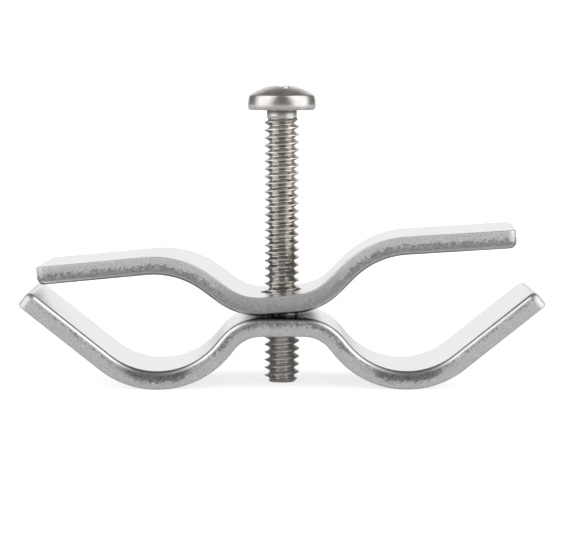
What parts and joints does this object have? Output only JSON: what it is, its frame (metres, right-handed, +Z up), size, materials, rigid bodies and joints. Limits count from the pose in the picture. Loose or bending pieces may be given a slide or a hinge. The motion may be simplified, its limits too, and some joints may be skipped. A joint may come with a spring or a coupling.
{
  "type": "two-post clamp anchor",
  "caption": "Clamp anchor of two bent steel straps drawn together by one pan-head machine screw, holding round posts side by side.",
  "frame": {"origin": "on the screw's axis, at the level of the two saddle bottoms that the clamp stands on", "axes": "+X along the straps, +Y across their width, +Z up the screw towards its head"},
  "size_m": [0.0712, 0.0216, 0.0409],
  "materials": {
    "strap_steel": "tumbled stainless strip with sheared edges",
    "screw_steel": "passivated stainless, rolled thread"
  },
  "bodies": {
    "lower_strap": {"lower_strap": "strap_steel"},
    "upper_strap": {"upper_strap": "strap_steel"},
    "clamp_screw": {"clamp_screw": "screw_steel"}
  },
  "joints": [
    {"name": "upper_strap_slide", "type": "slide", "parent": "lower_strap", "child": "upper_strap", "axis": [0, 0, 1], "range_m": [0, 0.0239]},
    {"name": "screw_turn", "type": "hinge", "parent": "lower_strap", "child": "clamp_screw", "pos_m": [0, 0, 0.0084], "axis": [0, 0, 1], "range_deg": [-8640, 3240]}
  ]
}
